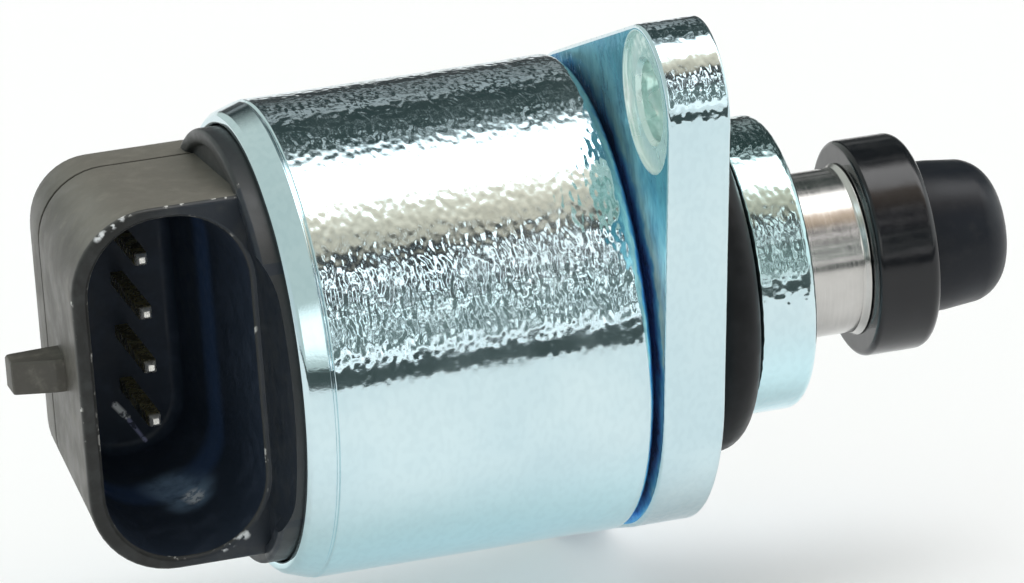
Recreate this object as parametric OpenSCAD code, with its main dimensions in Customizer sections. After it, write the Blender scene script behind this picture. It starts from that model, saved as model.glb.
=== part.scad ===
// Idle air control valve: a small linear stepper motor in a drawn can, on a two-eared mounting flange.
// Millimetres. The origin is the centre of the flange's mounting face. +X runs along the motor axis to the
// pintle, the connector's socket opens to -Y, and +Z is up.

/* [Motor can] */
// Outside diameter of the can
can_d = 33; // [31:0.5:35]
// Length of the can, rolled lip included
can_l = 24; // [23.5:0.1:25]
// Sheet thickness of the can
can_wall = 0.9; // [0.7:0.05:1]
// Radius of the lip that is rolled in over the rear cap
lip_r = 1.5; // [1.4:0.1:1.7]
// Gap between the can's front and the flange
can_gap = 0.5; // [0.4:0.1:0.6]

/* [Flange and nose] */
// Thickness of the flange
flange_t = 4.3; // [4.2:0.1:4.4]
// Diameter of the flange's middle
flange_d = 33.2; // [32:0.2:36]
// Distance between the two screw holes
hole_spacing = 48.2; // [46:0.1:52]
// Radius of each ear's round end
ear_r = 5.2; // [5:0.1:6]
// Turn of the ears from +Z towards -Y, in degrees
ear_angle = 42; // [30:1:60]
// Diameter of a screw hole
hole_d = 5.4; // [5.2:0.1:5.8]
// Diameter of the spot face round a screw hole
spot_d = 9.4; // [8.5:0.1:9.8]
// Diameter of the nose that enters the throttle body
nose_d = 20.5; // [20:0.1:21]
// Length of the nose from the mounting face
nose_l = 8.84; // [8.5:0.02:9.5]
// Width of the O-ring groove
groove_w = 4.7; // [4.4:0.1:5]
// Section of the O-ring
oring_s = 3.44; // [3:0.02:3.6]

/* [Connector] */
// Width of the socket along the motor axis
socket_w = 11.17; // [10.5:0.01:11.5]
// Height of the socket
socket_h = 23.88; // [23:0.02:24.4]
// Depth of the socket
socket_depth = 19.3; // [18.5:0.1:19.4]
// Wall of the shroud at its rim
shroud_wall = 1.14; // [1:0.02:1.3]
// Distance between neighbouring terminals
pin_pitch = 3.87; // [3.8:0.01:4]
// Width of a square terminal
pin_s = 0.9; // [0.7:0.05:1]
// Free length of a terminal in the socket
pin_free = 8.8; // [8:0.1:9.5]

/* [Pintle] */
// Diameter of the steel stem sleeve
stem_d = 11.5; // [11:0.1:12]
// Visible length of the stem sleeve in the rest pose
stem_out = 5.36; // [5.3:0.02:5.6]
// Diameter of the collar
collar_d = 15.1; // [14.6:0.1:15.6]
// Length of the collar
collar_l = 4.6; // [4.4:0.1:5.4]
// Diameter of the tip where it leaves the collar
tip_d = 10.6; // [10:0.1:11]
// Length of the tip
tip_l = 6.6; // [5.6:0.1:7]

/* [Motor] */
// Outside diameter of the lead screw
screw_d = 4.8; // [4.6:0.1:4.8]
// Outside diameter of the rotor magnet
magnet_d = 13.8; // [13.4:0.1:14]
// Number of claws on each pole piece
claws = 12; // [8:1:12]
// Number of balls in the front bearing
balls = 8; // [6:1:9]
// Turns of the return spring
spring_turns = 9; // [6:1:10]

/* [Hidden] */
$fn = 96;

zinc = [0.72, 0.78, 0.80];
bright = [0.75, 0.74, 0.72];
black = [0.09, 0.09, 0.10];
rubber = [0.05, 0.05, 0.05];

// stations along the axis
x_can1 = -flange_t - can_gap;          // can, front
x_can0 = x_can1 - can_l;               // can, rear
can_r = can_d / 2;
can_ri = can_r - can_wall;
x_cap1 = x_can0 + 3.5;                 // rear cap, inner face
x_cap0 = x_can0 - 1.4;                 // rear cap, face outside the can
spigot_r = 9.55;
x_spigot = x_can1 - 6;                 // rear end of the flange's spigot
race_r = 8;
x_stem0 = nose_l - 8.3;                // open end of the sleeve
x_collar = nose_l + stem_out;          // collar, rear face
x_tip = x_collar + collar_l;
x_end = x_tip + tip_l;
screw_r = screw_d / 2;
// socket
sock_x1 = x_can0 - 0.87;               // wall nearest to the can
sock_x0 = sock_x1 - socket_w;
sock_r = 5.16;                         // corner radius
rim_y = -6.97;                         // plane of the rim
block_x0 = sock_x0 - shroud_wall;
block_y1 = 13.5;                       // back of the connector block
pin_x = sock_x0 + 6.14;
pin_y = rim_y + socket_depth - pin_free;
// stator
unit_l = 6.9;
x_front_unit = x_spigot - 0.6;
x_rear_unit = x_front_unit - 2 * unit_l - 0.05;
pole_r = 7.25;

function arc(c, r, a0, a1, n) = [for (i = [0:n]) let (a = a0 + (a1 - a0) * i / n) [c[0] + r * cos(a), c[1] + r * sin(a)]];

// a turned shape: each point is [radius, station along the axis]
module turned(points) {
    rotate([0, 90, 0]) rotate_extrude() polygon(points);
}
module tube(r1, r0, x0, x1) {
    turned([[r0, x0], [r1, x0], [r1, x1], [r0, x1]]);
}
module bar(r, x0, x1) {
    translate([x0, 0, 0]) rotate([0, 90, 0]) cylinder(r = r, h = x1 - x0);
}
module ring(r, s, x) {
    translate([x, 0, 0]) rotate([0, 90, 0]) rotate_extrude() translate([r, 0]) circle(r = s, $fn = 48);
}
module box(a, b) {
    translate(a) cube([b[0] - a[0], b[1] - a[1], b[2] - a[2]]);
}

// drawn steel can: closed at the flange, lip rolled in over the cap
module can() {
    color(zinc)
    turned(concat(
        [[9.6, x_can1]],
        arc([can_r - 1, x_can1 - 1], 1, 90, 0, 6),
        arc([can_r - lip_r, x_can0 + lip_r], lip_r, 0, -90, 8),
        arc([can_r - lip_r, x_can0 + lip_r], lip_r - can_wall, -90, 0, 5),
        arc([can_r - 1, x_can1 - 1], 1 - can_wall, 0, 90, 4),
        [[9.6, x_can1 - can_wall]]));
}

// outline of the flange: a round middle with an ear at each end
function flange_outline() =
    let (R = flange_d / 2, L = hole_spacing / 2, t = acos((R - ear_r) / L))
    concat(
        arc([L, 0], ear_r, -t, t, 24),
        arc([0, 0], R, t, 180 - t, 18),
        arc([-L, 0], ear_r, 180 - t, 180 + t, 24),
        arc([0, 0], R, 180 + t, 360 - t, 18));

// puts a shape drawn along its own x onto the ears, with its z along the axis
module on_ears(x) {
    translate([x, 0, 0]) rotate([ear_angle, 0, 0]) rotate([0, 90, 0]) rotate([0, 0, 180]) children();
}

// flange, nose and the spigot that carries the bearing, one turned and milled piece
module flange_nose() {
    color(zinc)
    difference() {
        union() {
            on_ears(-flange_t) linear_extrude(flange_t) polygon(flange_outline());
            bar(12, x_can1, -flange_t + 0.5);
            bar(spigot_r, x_spigot, -1);
            turned(concat(
                [[0, -1], [9, -1], [9, groove_w], [nose_d / 2 - 0.25, groove_w], [nose_d / 2, groove_w + 0.25]],
                arc([nose_d / 2 - 0.8, nose_l - 0.8], 0.8, 0, 90, 6),
                [[0, nose_l]]));
        }
        bar(race_r, x_spigot - 1, x_can1);
        bar(6.6, x_can1 - 1, 3);
        bar(stem_d / 2 + 0.08, 2, nose_l + 1);
        bar(7, 6.2, 7.6);
        for (s = [-1, 1]) {
            on_ears(-flange_t - 1) translate([s * hole_spacing / 2, 0, 0]) cylinder(d = hole_d, h = flange_t + 2);
            on_ears(-flange_t - 1) translate([s * hole_spacing / 2, 0, 0]) cylinder(d = spot_d, h = 1.3);
        }
    }
}

// static seal in the nose's groove
module nose_o_ring() {
    color(rubber) ring(9.02 + oring_s / 2, oring_s / 2, groove_w - oring_s / 2 - 0.3);
}

// seal between the rear cap and the can
module cap_seal() {
    color([0.35, 0.16, 0.10]) ring(15.04, 0.5, x_cap1 - 1.2);
}

// one slice of a shape with two round corners away from the can and a flat end at x1, h to each side of the axis
module slice(x0, x1, h, r, y) {
    for (z = [-h + r, h - r]) translate([x0 + r, y, z]) rotate([90, 0, 0]) cylinder(r = r, h = 0.02, $fn = 40);
    translate([x1 - 0.02, y - 0.02, -h]) cube([0.02, 0.02, 2 * h]);
}
// outside of the connector block: drafted from the rim to the back, with a round back edge
module block_outside() {
    h = socket_h / 2 + shroud_wall * 0.7;
    r = sock_r + 0.6;
    d = 1.25;     // draft over the block's depth
    b = 2.3;      // radius of the back edge
    x1 = x_can0 - 0.3;
    hull() {
        slice(block_x0, x1, h, r, rim_y + 0.02);
        for (a = [0, 20, 40, 60, 80, 90])
            slice(block_x0 + d + b - b * cos(a), x1, h - d - b + b * cos(a), r - d - b + b * cos(a), block_y1 - b + b * sin(a));
    }
}
// inside of the socket: round at both ends, drafted towards its floor
module socket_inside() {
    h = socket_h / 2;
    floor_y = rim_y + socket_depth;
    hull() {
        for (e = [[0, -30], [0, rim_y + 0.5], [1.15, floor_y - 0.8], [1.95, floor_y]])
            for (z = [-h + sock_r, h - sock_r]) for (x = [sock_x0 + sock_r, sock_x1 - sock_r])
                translate([x, e[1], z]) rotate([90, 0, 0]) cylinder(r = sock_r - e[0], h = 0.02, $fn = 40);
    }
}

// one terminal: blade in the socket, two bends in the plastic, tail to the coils
module terminal(z) {
    s = pin_s / 2;
    union() {
        box([pin_x - s, pin_y + 0.5, z - s], [pin_x + s, 13, z + s]);
        box([pin_x - s * 0.6, pin_y, z - s * 0.6], [pin_x + s * 0.6, pin_y + 1, z + s * 0.6]);
        box([pin_x - s, 12.5, z - s], [-27.7, 13, z + s]);
        box([-28.2, 10, z - s], [-27.7, 13, z + s]);
        box([-28.2, 10, z - s], [-24.4 - 0.9, 10.5, z + s]);
    }
}
module terminal_pins() {
    color("goldenrod") for (i = [-1.5, -0.5, 0.5, 1.5]) terminal(i * pin_pitch);
}

// moulded rear cap: disc under the can's lip, connector block, latch tab
module rear_cap() {
    color(black)
    difference() {
        union() {
            turned([[0, x_cap1], [can_ri - 0.05, x_cap1], [can_ri - 0.05, x_can0 + 1.45],
                [can_r - lip_r - 0.05, x_can0 + can_wall - 0.05], [can_r - lip_r - 0.05, x_cap0], [0, x_cap0]]);
            block_outside();
            // latch tab for the plug, on the side away from the can
            translate([0, 0, -1.2]) linear_extrude(2.4)
                polygon([[block_x0 + 2, -0.9], [block_x0 - 0.2, -0.7], [block_x0 - 3.2, 0.1], [block_x0 - 3.2, 2.2], [block_x0 + 2, 2.5]]);
        }
        socket_inside();
        bar(4.6, x_cap1 - 2.3, x_cap1 + 1);
        bar(3.3, x_cap1 - 3.4, x_cap1);
        rotate([0, 90, 0]) rotate_extrude() translate([14.5, x_cap1 - 1.8]) square([3, 1.2]);
        for (i = [-1.5, -0.5, 0.5, 1.5]) terminal(i * pin_pitch);
    }
}

// one ring of claws, each a short bar bent along the axis
module claw_ring(x0, x1, turn) {
    w = 1.5;
    intersection() {
        tube(pole_r + 0.8, pole_r, x0, x1);
        union() for (i = [0:claws / 2 - 1]) rotate([turn + i * 360 / claws, 0, 0])
            translate([x0 - 1, -10, -w / 2]) cube([x1 - x0 + 2, 20, w]);
    }
}
// outer pole piece: end ring, outer wall and claws, facing along -X from its station
module pole_cup(turn) {
    color([0.6, 0.62, 0.62]) union() {
        tube(15.5, pole_r, -0.9, 0);
        tube(15.5, 14.6, -unit_l, -0.5);
        claw_ring(-6, -0.5, turn);
    }
}
// inner pole piece, at the other end of the same coil
module pole_plate(turn) {
    color([0.6, 0.62, 0.62]) union() {
        tube(14.55, pole_r, -unit_l, -unit_l + 0.9);
        claw_ring(-unit_l + 0.5, -0.95, turn);
    }
}
module bobbin() {
    color([0.25, 0.25, 0.24]) turned([[8.15, -0.95], [14.4, -0.95], [14.4, -1.55], [8.9, -1.55],
        [8.9, -5.35], [14.4, -5.35], [14.4, -5.95], [8.15, -5.95]]);
}
module winding() {
    color([0.72, 0.36, 0.16]) turned([[8.95, -1.6], [13.4, -1.6], [13.7, -1.9], [13.7, -5.0], [13.4, -5.3], [8.95, -5.3]]);
}
module front_unit() { translate([x_front_unit, 0, 0]) children(); }
module rear_unit() { translate([x_rear_unit, 0, 0]) mirror([1, 0, 0]) children(); }
module front_pole_cup() { front_unit() pole_cup(0); }
module front_pole_plate() { front_unit() pole_plate(180 / claws); }
module front_bobbin() { front_unit() bobbin(); }
module front_winding() { front_unit() winding(); }
module rear_pole_cup() { rear_unit() pole_cup(90 / claws); }
module rear_pole_plate() { rear_unit() pole_plate(270 / claws); }
module rear_bobbin() { rear_unit() bobbin(); }
module rear_winding() { rear_unit() winding(); }

// keeps the stator stack against the rear cap
module stator_spacer() {
    color([0.85, 0.83, 0.76]) tube(15.5, 13.2, x_front_unit + 0.05, x_can1 - can_wall - 0.15);
}

// front ball bearing
x_ball = x_spigot + 2.5;
module bearing_outer_race() {
    color(bright) difference() {
        tube(race_r - 0.01, 6.75, x_spigot + 0.05, x_can1 - 1.02);
        ring(6, 1.22, x_ball);
    }
}
module bearing_inner_race() {
    color(bright) difference() {
        tube(5.25, 4, x_spigot + 0.05, x_can1 - 1.02);
        ring(6, 1.22, x_ball);
    }
}
module ball_row(r) {
    for (i = [0:balls - 1]) rotate([i * 360 / balls, 0, 0]) translate([x_ball, 0, 6]) sphere(r = r, $fn = 48);
}
module bearing_balls() { color([0.85, 0.85, 0.86]) ball_row(1.16); }
module bearing_cage() {
    color([0.75, 0.6, 0.3]) difference() {
        tube(6.35, 5.65, x_ball - 1.7, x_ball + 1.7);
        ball_row(1.22);
    }
}

// fixed plate that keeps the lead screw from turning
module guide_plate() {
    color([0.82, 0.80, 0.72]) difference() {
        union() {
            bar(7.95, x_can1 - 0.98, x_can1 - 0.02);
            bar(3.4, x_can1 - 0.5, x_can1 + 2);
        }
        screw_section(0.05, x_can1 - 3, x_can1 + 4);
    }
}
// the screw's round section with its two flats
module screw_section(gap, x0, x1) {
    intersection() {
        bar(screw_r + gap, x0, x1);
        box([x0 - 1, -9, -1.9 - gap], [x1 + 1, 9, 1.9 + gap]);
    }
}

module thrust_washer() { color(bright) tube(4.4, 3.5, x_cap1 + 0.04, x_cap1 + 0.26); }
module rear_bush() { color([0.62, 0.47, 0.25]) tube(4.58, 3.45, x_cap1 - 2.28, x_cap1 - 0.02); }
module stem_wiper() { color(rubber) tube(6.97, stem_d / 2 + 0.05, 6.23, 7.57); }

module rotor_magnet() { color([0.16, 0.16, 0.17]) tube(magnet_d / 2, 4.42, -24.6, -12.2); }
// moulded rotor core with the nut thread in its front half
module rotor_nut() {
    color([0.80, 0.78, 0.70]) turned([[screw_r + 0.06, x_can1 - 1.2], [3.98, x_can1 - 1.2], [3.98, x_spigot],
        [5, x_spigot], [5, -12.15], [4.4, -12.15], [4.4, -25], [3.4, -25], [3.4, x_cap1 - 2.1],
        [2.9, x_cap1 - 2.1], [2.9, -15.8], [screw_r + 0.06, -15.8]]);
}

// lead screw, with flats where it passes the guide plate
module lead_screw() {
    color(bright) union() {
        turned([[0, -23.2], [screw_r - 0.4, -23.2], [screw_r, -22.8], [screw_r, -11.4], [0, -11.4]]);
        screw_section(0, -12, 4);
        bar(screw_r, 3.5, x_tip + 3);
    }
}
// steel sleeve that slides in the nose
module stem_sleeve() {
    r = stem_d / 2;
    color(bright) turned([[r - 0.55, x_stem0], [r - 0.15, x_stem0], [r, x_stem0 + 0.15], [r, x_collar],
        [screw_r, x_collar], [screw_r, x_collar - 1], [r - 0.55, x_collar - 1]]);
}
// sealing collar
module valve_collar() {
    r = collar_d / 2;
    color(black) turned(concat(
        [[screw_r + 0.02, x_collar], [r - 0.25, x_collar], [r, x_collar + 0.25]],
        arc([r - 0.8, x_tip - 0.8], 0.8, 0, 90, 5),
        [[screw_r + 0.02, x_tip]]));
}
// rounded tip of the pintle
module pintle_tip() {
    r = tip_d / 2;
    color([0.07, 0.07, 0.08]) turned(concat(
        [[screw_r, x_tip], [r, x_tip], [r - 0.05, x_tip + 1.6]],
        arc([r - 2.95, x_end - 3], 2.7, 12, 80, 8),
        [[0, x_end], [0, x_tip + 3], [screw_r, x_tip + 3]]));
}

// return spring inside the sleeve, a wire swept along a helix
spring_r = 4.25;
wire_r = 0.3;
sx0 = x_can1 + 0.35;
sx1 = x_collar - 1.35;
ring_n = spring_turns * 16;
function helix(i) = let (t = i / ring_n, a = t * spring_turns * 360) [sx0 + (sx1 - sx0) * t, spring_r * cos(a), spring_r * sin(a)];
spring_points = [for (i = [0:ring_n]) let (c = helix(i), a = i * 360 / 16) for (k = [0:5])
    [c[0] + wire_r * sin(k * 60), c[1] + wire_r * cos(k * 60) * cos(a), c[2] + wire_r * cos(k * 60) * sin(a)]];
spring_faces = concat(
    [[for (k = [0:5]) k]],
    [for (i = [0:ring_n - 1]) for (k = [0:5]) let (a = i * 6 + k, b = i * 6 + (k + 1) % 6) [a, a + 6, b + 6, b]],
    [[for (k = [5:-1:0]) ring_n * 6 + k]]);
module return_spring() {
    color([0.7, 0.7, 0.72]) polyhedron(spring_points, spring_faces, convexity = 10);
}

can();
flange_nose();
nose_o_ring();
rear_cap();
cap_seal();
terminal_pins();
stator_spacer();
front_pole_cup();
front_pole_plate();
front_bobbin();
front_winding();
rear_pole_cup();
rear_pole_plate();
rear_bobbin();
rear_winding();
bearing_outer_race();
bearing_balls();
bearing_cage();
bearing_inner_race();
guide_plate();
thrust_washer();
rear_bush();
stem_wiper();
rotor_magnet();
rotor_nut();
lead_screw();
stem_sleeve();
valve_collar();
pintle_tip();
return_spring();
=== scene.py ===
import math

import bmesh
import bpy
from mathutils import Matrix, Vector
from mathutils.geometry import delaunay_2d_cdt


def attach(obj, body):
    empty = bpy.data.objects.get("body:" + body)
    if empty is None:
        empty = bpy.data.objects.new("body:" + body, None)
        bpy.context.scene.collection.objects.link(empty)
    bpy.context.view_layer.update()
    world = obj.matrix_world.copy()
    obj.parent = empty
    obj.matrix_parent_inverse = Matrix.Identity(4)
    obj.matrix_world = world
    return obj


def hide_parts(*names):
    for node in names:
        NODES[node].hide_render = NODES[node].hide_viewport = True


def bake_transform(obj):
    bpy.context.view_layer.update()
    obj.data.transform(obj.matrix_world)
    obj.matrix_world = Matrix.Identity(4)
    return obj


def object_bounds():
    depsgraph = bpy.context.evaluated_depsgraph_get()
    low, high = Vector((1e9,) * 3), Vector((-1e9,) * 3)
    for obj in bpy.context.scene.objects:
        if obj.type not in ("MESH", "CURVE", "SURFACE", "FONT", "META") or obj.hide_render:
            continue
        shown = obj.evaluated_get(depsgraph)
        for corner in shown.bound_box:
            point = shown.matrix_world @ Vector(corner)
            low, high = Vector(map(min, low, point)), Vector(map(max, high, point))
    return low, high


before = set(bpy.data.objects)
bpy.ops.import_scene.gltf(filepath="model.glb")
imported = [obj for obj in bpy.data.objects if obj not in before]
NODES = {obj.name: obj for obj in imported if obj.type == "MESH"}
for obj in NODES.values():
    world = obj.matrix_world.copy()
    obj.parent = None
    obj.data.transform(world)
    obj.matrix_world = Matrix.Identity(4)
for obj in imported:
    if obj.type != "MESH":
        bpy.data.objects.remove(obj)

CAD_BOX = [list(v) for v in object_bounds()]
MM = 0.001
scene = bpy.context.scene
scene.view_settings.view_transform = "Standard"
scene.view_settings.look = "None"


# ---------------------------------------------------------------- materials

class Finish:
    """A node material, built with short calls. Coordinates are the piece's own, in metres."""

    def __init__(self, name, color=(0.5, 0.5, 0.5), metallic=0.0, rough=0.5, **sockets):
        self.mat = bpy.data.materials.new(name)
        self.mat.use_nodes = True
        self.tree = self.mat.node_tree
        self.bsdf = self.tree.nodes["Principled BSDF"]
        self.place = self.tree.nodes.new("ShaderNodeTexCoord").outputs["Object"]
        self.bsdf.inputs["Base Color"].default_value = (*color, 1)
        self.bsdf.inputs["Metallic"].default_value = metallic
        self.bsdf.inputs["Roughness"].default_value = rough
        for key, value in sockets.items():
            self.bsdf.inputs[key.replace("_", " ")].default_value = value
        self.mat.diffuse_color = (*color, 1)

    def put(self, kind, **values):
        node = self.tree.nodes.new(kind)
        for key, value in values.items():
            setattr(node, key, value)
        return node

    def feed(self, socket, value):
        if isinstance(value, bpy.types.NodeSocket):
            self.tree.links.new(value, socket)
        else:
            socket.default_value = value

    def math(self, operation, a, b=0.0, clamp=False):
        node = self.put("ShaderNodeMath", operation=operation, use_clamp=clamp)
        self.feed(node.inputs[0], a)
        self.feed(node.inputs[1], b)
        return node.outputs[0]

    def noise(self, size, detail=2.0, rough=0.5, stretch=None, distortion=0.0, shift=0.0):
        """Noise whose features are about that size in millimetres."""
        node = self.put("ShaderNodeTexNoise")
        node.inputs["Scale"].default_value = 1.0 / (size * MM)
        node.inputs["Detail"].default_value = detail
        node.inputs["Roughness"].default_value = rough
        node.inputs["Distortion"].default_value = distortion
        where = self.place
        if stretch or shift:
            mapping = self.put("ShaderNodeMapping")
            mapping.inputs["Scale"].default_value = stretch or (1, 1, 1)
            mapping.inputs["Location"].default_value = (shift * MM, shift * MM, shift * MM)
            self.feed(mapping.inputs["Vector"], where)
            where = mapping.outputs[0]
        self.feed(node.inputs["Vector"], where)
        return node.outputs["Fac"]

    def cells(self, size, feature="F1"):
        node = self.put("ShaderNodeTexVoronoi", feature=feature)
        node.inputs["Scale"].default_value = 1.0 / (size * MM)
        self.feed(node.inputs["Vector"], self.place)
        return node.outputs["Distance"]

    def span(self, value, lo, hi, out_lo=0.0, out_hi=1.0, smooth=True):
        node = self.put("ShaderNodeMapRange", interpolation_type="SMOOTHSTEP" if smooth else "LINEAR")
        self.feed(node.inputs["Value"], value)
        for key, number in (("From Min", lo), ("From Max", hi), ("To Min", out_lo), ("To Max", out_hi)):
            node.inputs[key].default_value = number
        return node.outputs["Result"]

    def ramp(self, value, stops):
        node = self.put("ShaderNodeValToRGB")
        ramp = node.color_ramp
        while len(ramp.elements) < len(stops):
            ramp.elements.new(0.5)
        for element, (at, color) in zip(ramp.elements, stops):
            element.position = at
            element.color = (*color, 1) if len(color) == 3 else color
        self.feed(node.inputs["Fac"], value)
        return node.outputs["Color"]

    def blend(self, factor, a, b, kind="MIX"):
        node = self.put("ShaderNodeMix", data_type="RGBA", blend_type=kind)
        self.feed(node.inputs["Factor"], factor)
        self.feed(node.inputs["A"] if False else node.inputs[6], a if isinstance(a, bpy.types.NodeSocket) else (*a, 1))
        self.feed(node.inputs[7], b if isinstance(b, bpy.types.NodeSocket) else (*b, 1))
        return node.outputs[2]

    def grey(self, value):
        node = self.put("ShaderNodeCombineXYZ")
        for i in range(3):
            self.feed(node.inputs[i], value)
        return node.outputs[0]

    def near(self, a, b):
        """Distance to the line between two places that are given in millimetres."""
        a, b = Vector(a) * MM, Vector(b) * MM
        line = b - a

        def calc(operation, first, second):
            node = self.put("ShaderNodeVectorMath", operation=operation)
            self.feed(node.inputs[0], first)
            self.feed(node.inputs[3] if operation == "SCALE" else node.inputs[1], second)
            return node.outputs["Value"] if operation in ("DOT_PRODUCT", "DISTANCE") else node.outputs[0]

        off = calc("SUBTRACT", self.place, tuple(a))
        along = self.math("MULTIPLY", calc("DOT_PRODUCT", off, tuple(line)), 1.0 / line.length_squared, clamp=True)
        return calc("DISTANCE", off, calc("SCALE", tuple(line), along))

    def bump(self, height, depth, strength=1.0, after=None):
        """Depth is the height of the relief in millimetres."""
        node = self.put("ShaderNodeBump")
        node.inputs["Distance"].default_value = depth * MM
        self.feed(node.inputs["Strength"], strength)
        self.feed(node.inputs["Height"], height)
        if after is not None:
            self.feed(node.inputs["Normal"], after)
        return node.outputs["Normal"]

    def split(self):
        node = self.put("ShaderNodeSeparateXYZ")
        self.feed(node.inputs[0], self.place)
        return node.outputs

    def finish(self, color=None, rough=None, normal=None):
        if color is not None:
            self.feed(self.bsdf.inputs["Base Color"], color)
        if rough is not None:
            self.feed(self.bsdf.inputs["Roughness"], rough)
        if normal is not None:
            self.feed(self.bsdf.inputs["Normal"], normal)
        return self.mat


def zinc(name, pale, deep, grain=0.45, relief=0.036, where=None, rough=(0.07, 0.14), tint=None, metallic=1.0, **sockets):
    """Blue-passivated zinc plate over drawn or turned steel: soft blue-green clouds, a fine peel
    that breaks up reflections, and hairline scratches."""
    f = Finish(name, color=pale, metallic=metallic, rough=rough[0], **sockets)
    cloud = f.noise(8.0, 3, 0.5)
    peel = f.noise(grain, 0.3, 0.4, stretch=(1.6, 1.0, 1.0))
    broad = f.noise(grain * 4.5, 2.0, 0.5, shift=3.0)
    fine = f.noise(0.13, 2, 0.5)
    base = f.ramp(cloud, [(0.36, deep), (0.64, pale)])
    if where:
        x, y, z = f.split()
        # Painted reflection: the lower part of the can, and of the nose's land, is painted paler and bluer as the
        # floor's reflection.
        low = f.span(z, -0.0130, -0.0055, 1.0, 0.0) if where == "can" else f.math("MULTIPLY", f.span(z, -0.0065, -0.0005, 1.0, 0.0), f.span(x, 0.0040, 0.0046))
        base = f.blend(low, base, (0.66, 0.92, 0.98))
        if where == "flange":
            # Painted reflection: the upper part of the nose's land is painted darker, as a dark band reflected in it.
            base = f.blend(f.math("MULTIPLY", f.span(z, 0.0005, 0.0030), f.span(x, 0.0040, 0.0046)), base, (0.47, 0.63, 0.64))
    if tint:
        base = tint(f, base)
    color = f.blend(1.0, base, f.ramp(peel, [(0.38, (0.965, 0.972, 0.975)), (0.56, (1.0, 1.0, 1.0))]), "MULTIPLY")
    mask = 1.0
    if where == "can":
        mask = f.math("MULTIPLY", f.span(x, -0.02690, -0.02660), f.span(z, 0.0012, 0.0042, 0.26, 1.0))
    one = f.bump(f.math("ADD", peel, f.math("MULTIPLY", broad, 0.25)), relief, mask)
    scratch = f.noise(0.22, 1, 0.4, stretch=(0.2, 1.0, 1.0), shift=9.0)
    two = f.bump(f.math("ADD", fine, f.math("MULTIPLY", scratch, 0.8)), 0.0018, 1.0, one)
    return f.finish(color, f.span(f.math("ADD", f.math("MULTIPLY", broad, 0.5), f.math("MULTIPLY", cloud, 0.5)), 0.35, 0.65, *rough), two)


def from_axis(f):
    """Distance from the motor's axis, in metres."""
    x, y, z = f.split()
    return f.math("SQRT", f.math("ADD", f.math("MULTIPLY", y, y), f.math("MULTIPLY", z, z)))


def blue_to_axis(f, base):
    """The film's colour runs with distance from the axis: a navy line at the can's edge that is painted shade, a pale
    cyan band beside it that is painted reflection, then blue and teal further out.
    """
    r = f.math("ADD", from_axis(f), f.math("MULTIPLY", f.math("SUBTRACT", f.noise(2.6, 3, 0.6), 0.5), 0.0036))
    film = f.ramp(f.span(r, 0.0150, 0.0290, smooth=False), [
        (0.0, (0.10, 0.12, 0.38)), (0.045, (0.11, 0.36, 0.92)), (0.085, (0.16, 0.58, 1.0)), (0.14, (0.46, 0.93, 1.0)),
        (0.25, (0.42, 0.92, 1.0)), (0.40, (0.18, 0.66, 0.84)), (0.50, (0.14, 0.56, 0.66)), (0.72, (0.14, 0.60, 0.72)), (0.95, (0.20, 0.92, 1.0))])
    x, y, z = f.split()
    # Darker towards the top of the ear, a little lighter low down.
    film = f.blend(1.0, film, f.grey(f.span(z, 0.008, 0.0165, 1.15, 0.36)), "MULTIPLY")
    # Painted reflection: a pale patch low down, just beside the can.
    film = f.blend(f.math("MULTIPLY", f.span(z, 0.005, 0.0125, 0.80, 0.0), f.span(r, 0.0163, 0.0170)), film, (0.74, 0.99, 1.0))
    film = f.blend(1.0, film, f.ramp(f.noise(1.5, 3, 0.65, stretch=(1.0, 1.0, 0.45), shift=7.0), [(0.34, (0.60, 0.66, 0.72)), (0.62, (1.15, 1.12, 1.08))]), "MULTIPLY")
    return f.blend(0.85, base, film)


def steel(name, color, rough=(0.14, 0.24), lines=0.002, metallic=1.0):
    """Ground or turned steel: lines run round the axis."""
    f = Finish(name, color=color, metallic=metallic, rough=rough[0])
    turn = f.noise(0.09, 2, 0.6, stretch=(1.0, 0.03, 0.03))
    cloud = f.noise(3.0, 3, 0.5)
    dark = tuple(c * 0.82 for c in color)
    col = f.ramp(cloud, [(0.35, dark), (0.62, color)])
    col = f.blend(0.5, col, f.ramp(turn, [(0.35, (0.86, 0.86, 0.86)), (0.65, (1, 1, 1))]), "MULTIPLY")
    return f.finish(col, f.span(f.math("ADD", turn, f.math("MULTIPLY", cloud, 0.4)), 0.45, 0.95, *rough),
                    f.bump(turn, lines, 1.0, f.bump(f.noise(0.5, 2), 0.004)))


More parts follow.
